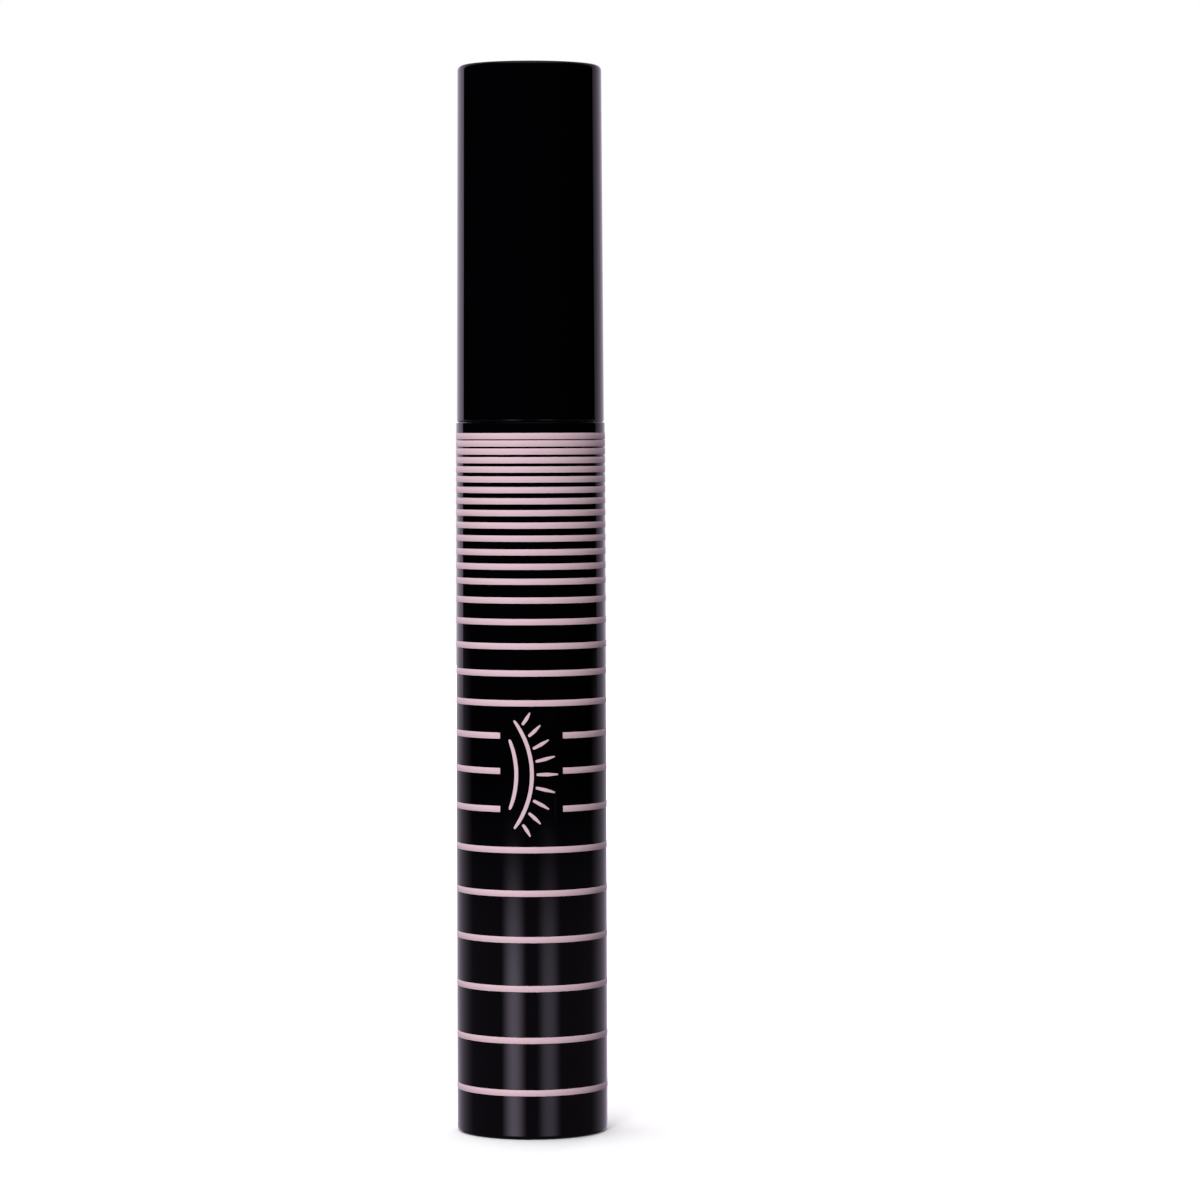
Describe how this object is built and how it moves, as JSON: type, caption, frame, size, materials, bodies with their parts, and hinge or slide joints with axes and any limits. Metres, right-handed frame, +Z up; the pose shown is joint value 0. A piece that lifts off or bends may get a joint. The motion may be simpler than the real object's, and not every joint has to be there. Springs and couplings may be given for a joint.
{
  "type": "mascara tube",
  "caption": "Closed cylindrical mascara tube with printed pale bands; its screw-on cap carries a stem and a twisted-wire brush that lift out through a wiper.",
  "frame": {"origin": "centre of the face that the bottle stands on", "axes": "+Z up the tube's axis towards the cap's closed end; the printed motif faces -Y; +X to the viewer's right when the motif is seen from the front"},
  "size_m": [0.0194, 0.0194, 0.1373],
  "materials": {
    "gloss_black": "high-gloss moulded black",
    "satin_black": "satin moulded black",
    "pale_pink_print": "satin print in pale pink",
    "label_film": "plain printed film",
    "mascara_cream": "wet black cream",
    "wiper_plastic": "soft milky plastic",
    "seal_rubber": "soft grey rubber",
    "weight_steel": "turned steel",
    "twisted_wire": "drawn and twisted wire",
    "black_nylon": "fine nylon bristles"
  },
  "bodies": {
    "bottle": {"bottle_sleeve": "gloss_black", "base_plug": "satin_black", "base_label": "label_film", "inner_bottle": "satin_black", "mascara_fill": "mascara_cream", "wiper": "wiper_plastic", "motif": "pale_pink_print", "band_01": "pale_pink_print", "band_02": "pale_pink_print", "band_03": "pale_pink_print", "band_04": "pale_pink_print", "band_05": "pale_pink_print", "band_06": "pale_pink_print", "band_07": "pale_pink_print", "band_08": "pale_pink_print", "band_09": "pale_pink_print", "band_10": "pale_pink_print", "band_11": "pale_pink_print", "band_12": "pale_pink_print", "band_13": "pale_pink_print", "band_14": "pale_pink_print", "band_15": "pale_pink_print", "band_16": "pale_pink_print", "band_17": "pale_pink_print", "band_18": "pale_pink_print", "band_19": "pale_pink_print", "band_20": "pale_pink_print", "band_21": "pale_pink_print", "band_22": "pale_pink_print", "band_23": "pale_pink_print", "band_24": "pale_pink_print", "band_25": "pale_pink_print", "band_26": "pale_pink_print", "band_27": "pale_pink_print", "band_28": "pale_pink_print"},
    "washer": {"seal_washer": "seal_rubber"},
    "weight": {"cap_weight": "weight_steel"},
    "applicator": {"overcap": "gloss_black", "inner_cap": "satin_black", "stem": "satin_black", "brush_wire": "twisted_wire", "bristles": "black_nylon"}
  },
  "joints": [
    {"name": "applicator_pull", "type": "slide", "parent": "bottle", "child": "washer", "axis": [0, 0, 1], "range_m": [0, 0.105], "deforming": ["bristles"]},
    {"name": "thread_rise", "type": "slide", "parent": "washer", "child": "weight", "axis": [0, 0, 1], "range_m": [0, 0.00326]},
    {"name": "cap_turn", "type": "hinge", "parent": "weight", "child": "applicator", "pos_m": [0, 0, 0.0915], "axis": [0, 0, 1], "range_deg": [0, 450]}
  ],
  "couplings": [
    {"joint": "thread_rise", "follows": "cap_turn", "m_per_rad": 0.0004138}
  ]
}
